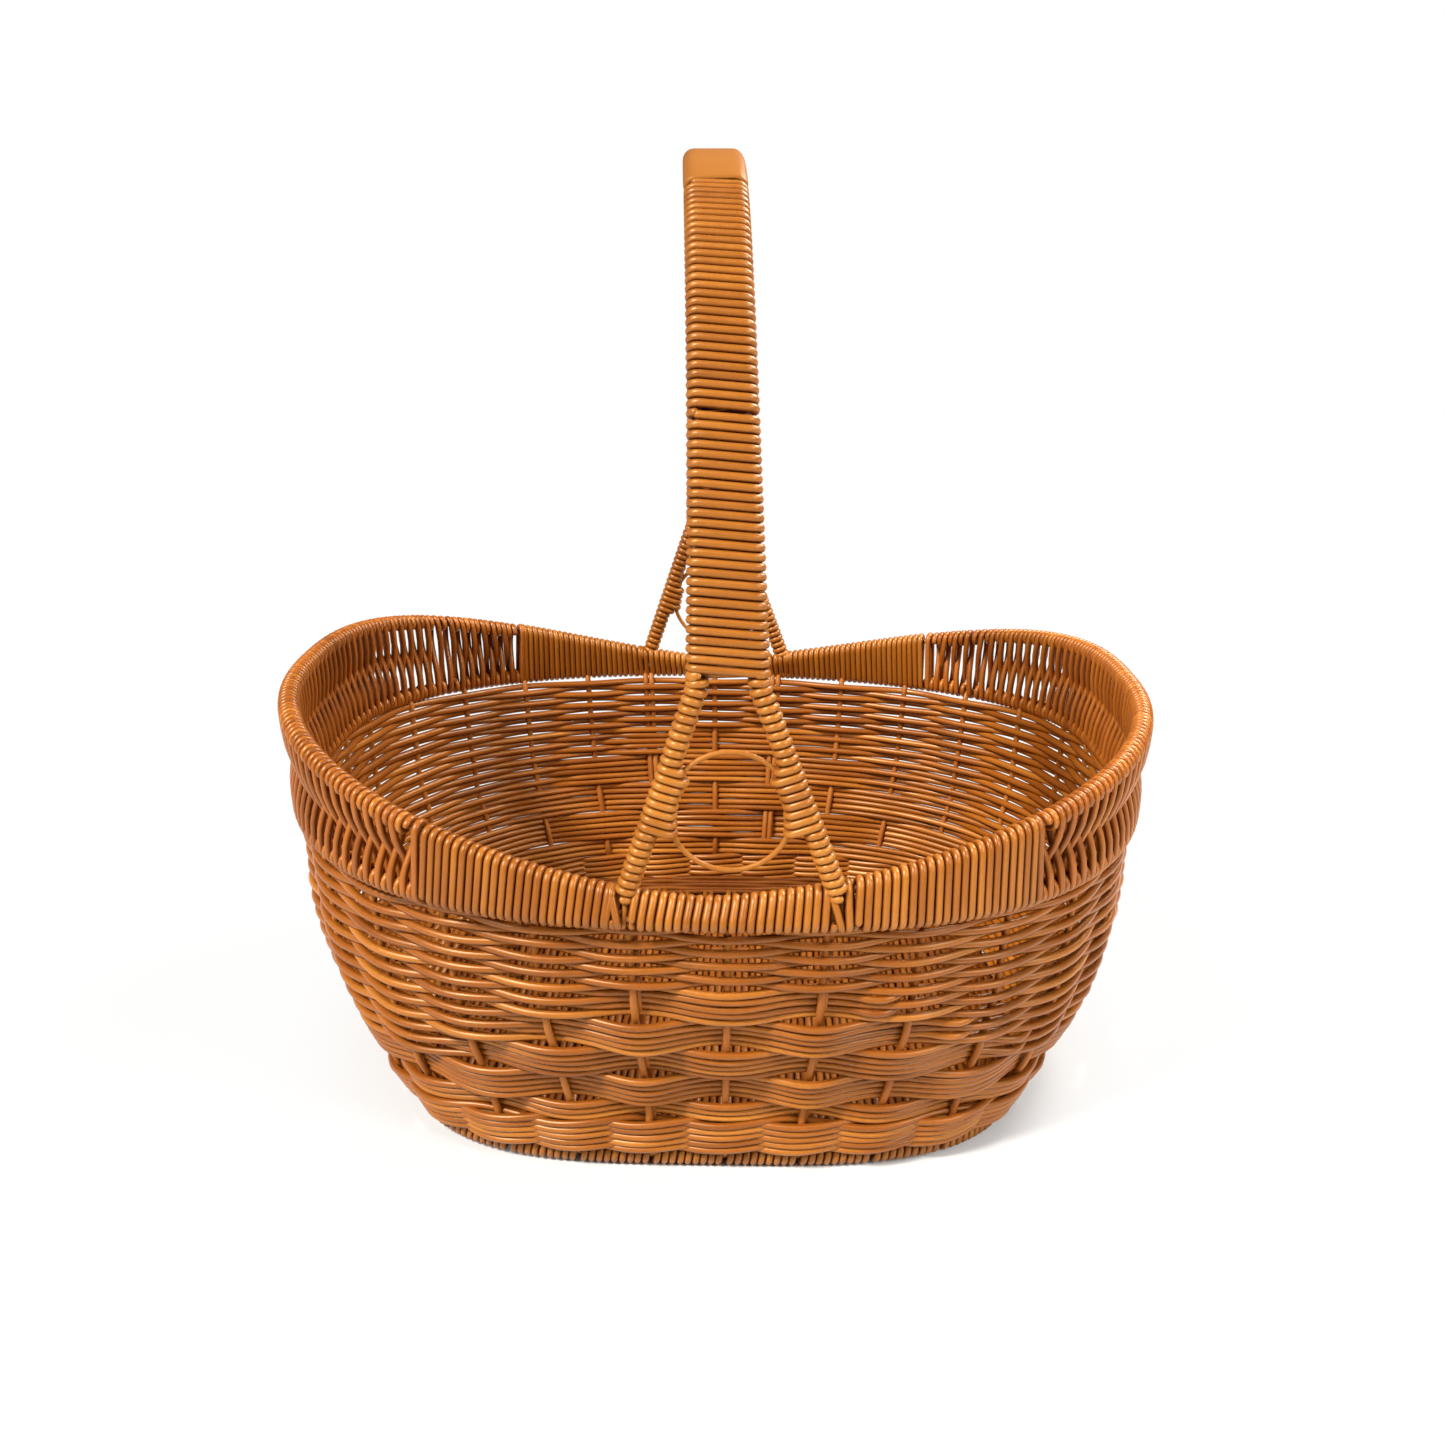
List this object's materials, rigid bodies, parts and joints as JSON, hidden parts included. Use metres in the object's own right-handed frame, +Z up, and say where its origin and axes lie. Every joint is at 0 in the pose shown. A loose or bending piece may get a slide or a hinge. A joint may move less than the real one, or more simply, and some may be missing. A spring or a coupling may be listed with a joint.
{
  "type": "hand basket",
  "caption": "Oval hand basket woven from round strands over a wire frame, with raised ends and a fixed arched handle on forked legs.",
  "frame": {"origin": "centre of the footprint, on the surface that the basket stands on", "axes": "+Z up, +X towards the right-hand end of the oval, +Y away from the front, in the plane of the handle's arch"},
  "size_m": [0.3732, 0.319, 0.3908],
  "materials": {
    "strand_wrap": "satin-gloss round strand, caramel brown, wound side by side",
    "strand_weave": "satin-gloss round strand, caramel brown, woven over and under the stakes",
    "strand_lattice": "satin-gloss round strand in open crossed loops",
    "grip_sleeve": "smooth satin sleeve, caramel brown",
    "ring_wire": "thin wire ring coated in the strand's colour",
    "stake_rod": "upright round strand, mostly hidden in the weave",
    "frame_wire": "brown coated steel wire, hidden by the wraps"
  },
  "bodies": {
    "root": {"foot_ring_wire": "frame_wire", "lower_rim_hoop": "frame_wire", "upper_rim_hoop": "frame_wire", "handle_wire_left": "frame_wire", "handle_wire_right": "frame_wire", "foot_ring_wrap": "strand_wrap", "rim_wrap_front": "strand_wrap", "rim_wrap_back": "strand_wrap", "handle_wrap_front": "strand_wrap", "handle_wrap_back": "strand_wrap", "leg_wrap_front_left": "strand_wrap", "leg_wrap_front_right": "strand_wrap", "leg_wrap_back_left": "strand_wrap", "leg_wrap_back_right": "strand_wrap", "wall_bottom_band": "strand_weave", "wall_block_weave": "strand_weave", "wall_upper_weave": "strand_weave", "floor_panel": "strand_weave", "end_lattice_left": "strand_lattice", "end_lattice_right": "strand_lattice", "handle_grip_sleeve": "grip_sleeve", "ring_front": "ring_wire", "ring_back": "ring_wire", "stake_01": "stake_rod", "stake_02": "stake_rod", "stake_03": "stake_rod", "stake_04": "stake_rod", "stake_05": "stake_rod", "stake_06": "stake_rod", "stake_07": "stake_rod", "stake_08": "stake_rod", "stake_09": "stake_rod", "stake_10": "stake_rod", "stake_11": "stake_rod", "stake_12": "stake_rod", "stake_13": "stake_rod", "stake_14": "stake_rod", "stake_15": "stake_rod", "stake_16": "stake_rod", "stake_17": "stake_rod", "stake_18": "stake_rod", "stake_19": "stake_rod", "stake_20": "stake_rod", "stake_21": "stake_rod", "stake_22": "stake_rod", "stake_23": "stake_rod", "stake_24": "stake_rod", "stake_25": "stake_rod", "stake_26": "stake_rod", "stake_27": "stake_rod", "stake_28": "stake_rod", "stake_29": "stake_rod", "stake_30": "stake_rod", "stake_31": "stake_rod", "stake_32": "stake_rod", "paired_stake_front_left": "stake_rod", "paired_stake_front_right": "stake_rod", "paired_stake_back_right": "stake_rod", "paired_stake_back_left": "stake_rod"}
  },
  "joints": []
}
